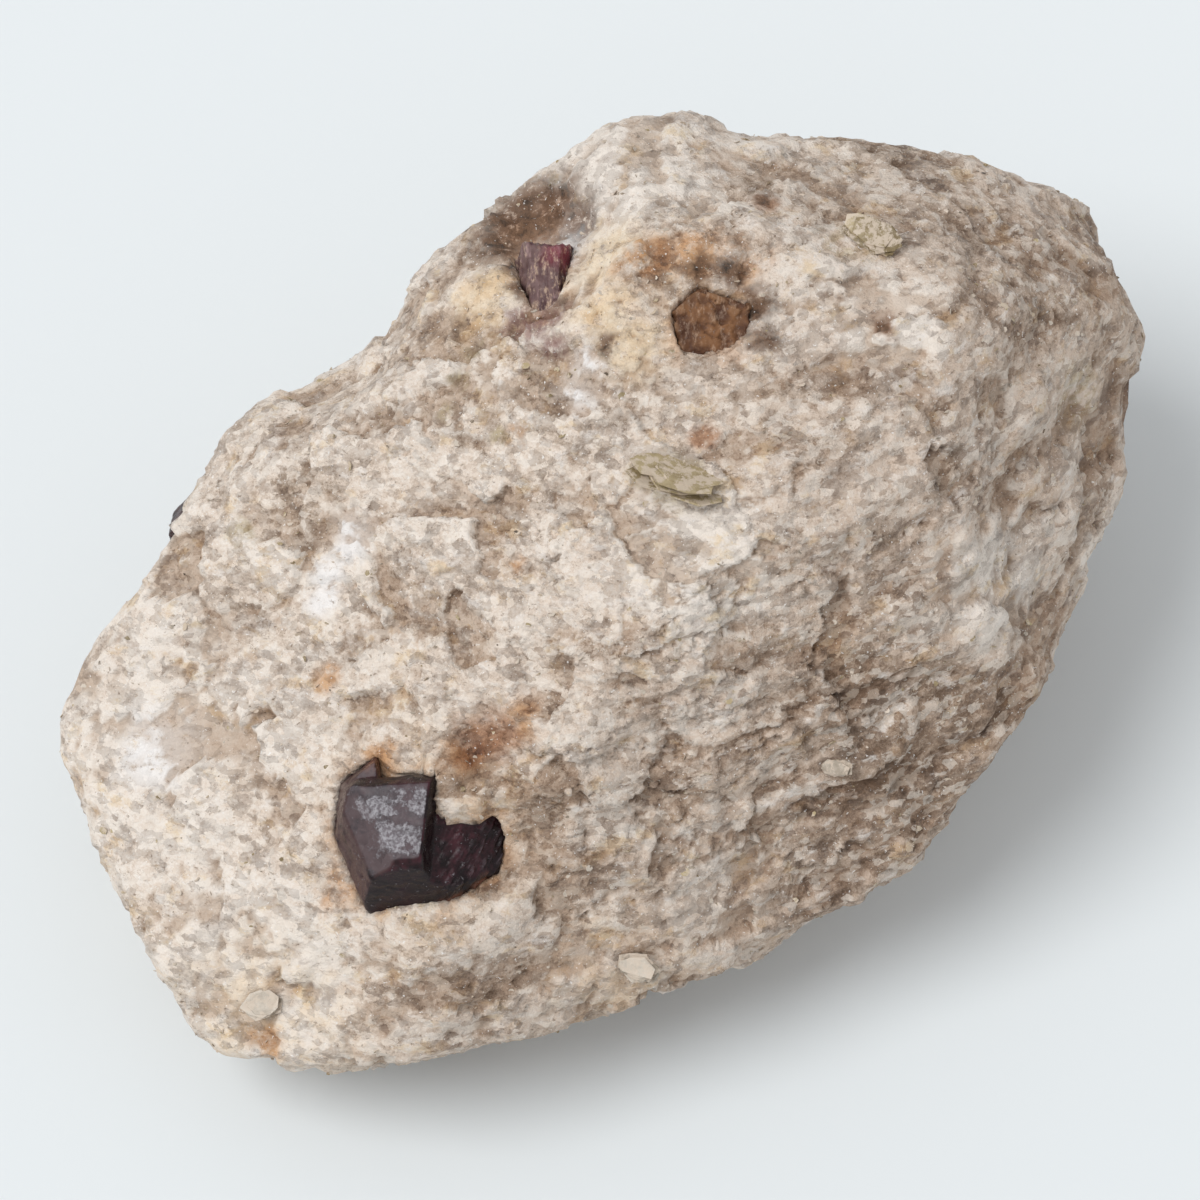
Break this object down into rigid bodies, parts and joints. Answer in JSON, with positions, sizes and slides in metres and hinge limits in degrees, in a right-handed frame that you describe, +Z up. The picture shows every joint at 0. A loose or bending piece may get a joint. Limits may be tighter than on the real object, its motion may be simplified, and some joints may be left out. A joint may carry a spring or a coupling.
{
  "type": "garnet in matrix",
  "caption": "Hand specimen of pale mica gneiss with dark red to brown garnets and books of mica set in its broken surface.",
  "frame": {"origin": "on the surface it rests on, under the middle of its outline", "axes": "+X along its length towards the right end, +Y to the back, +Z up; the large garnet is shown from -Y"},
  "size_m": [0.1086, 0.0928, 0.0595],
  "materials": {
    "matrix": "sugary broken stone of feldspar, quartz and mica",
    "garnet": "dark plum, glassy on its faces and rough where broken",
    "garnet_striated": "purple red, finely striated",
    "garnet_weathered": "brown, weathered dull",
    "mica_olive": "pearly olive sheets",
    "mica_clear": "pearly silver grey sheets"
  },
  "bodies": {
    "root": {"matrix": "matrix", "garnet_large": "garnet", "garnet_upper_left": "garnet_striated", "garnet_brown": "garnet_weathered", "garnet_left_edge": "garnet", "mica_book_centre": "mica_olive", "mica_book_upper": "mica_olive", "mica_book_left": "mica_clear", "mica_book_front": "mica_clear", "mica_book_right": "mica_clear"}
  },
  "joints": []
}
